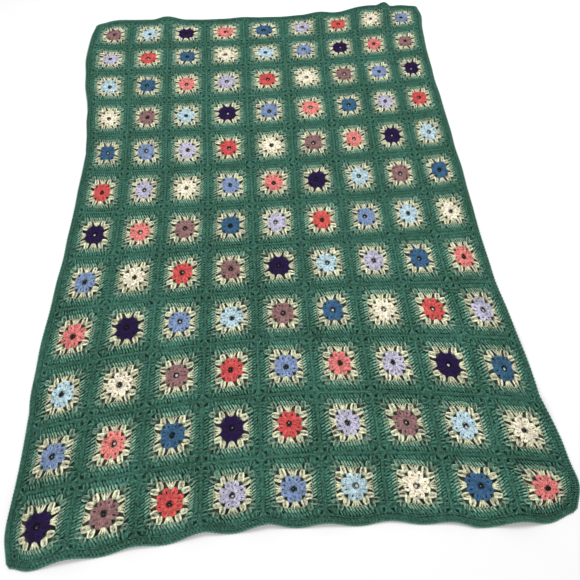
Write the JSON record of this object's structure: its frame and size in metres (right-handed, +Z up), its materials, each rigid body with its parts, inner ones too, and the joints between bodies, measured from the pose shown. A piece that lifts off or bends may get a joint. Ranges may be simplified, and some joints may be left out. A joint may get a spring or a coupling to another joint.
{
  "type": "granny square blanket",
  "caption": "Crocheted blanket of joined granny squares, each with a bright puffed flower in a pale and a green frame, with a green edging, laid out flat.",
  "frame": {"origin": "on the floor under the middle of the blanket's outline", "axes": "+X across the blanket's width, to the right in the picture; +Y along its length, towards the far end in the picture; +Z up from the floor"},
  "size_m": [1.2138, 1.556, 0.0339],
  "materials": {
    "green_yarn": "matte",
    "edging_yarn": "matte",
    "butter_yarn": "matte",
    "sage_yarn": "matte",
    "mauve_yarn": "matte",
    "light_blue_yarn": "matte",
    "purple_yarn": "matte",
    "salmon_yarn": "matte",
    "blue_yarn": "matte",
    "lavender_yarn": "matte",
    "red_yarn": "matte",
    "cream_yarn": "matte",
    "periwinkle_yarn": "matte"
  },
  "bodies": {
    "root": {"joined_squares": "green_yarn", "edging": "edging_yarn"}
  },
  "joints": []
}
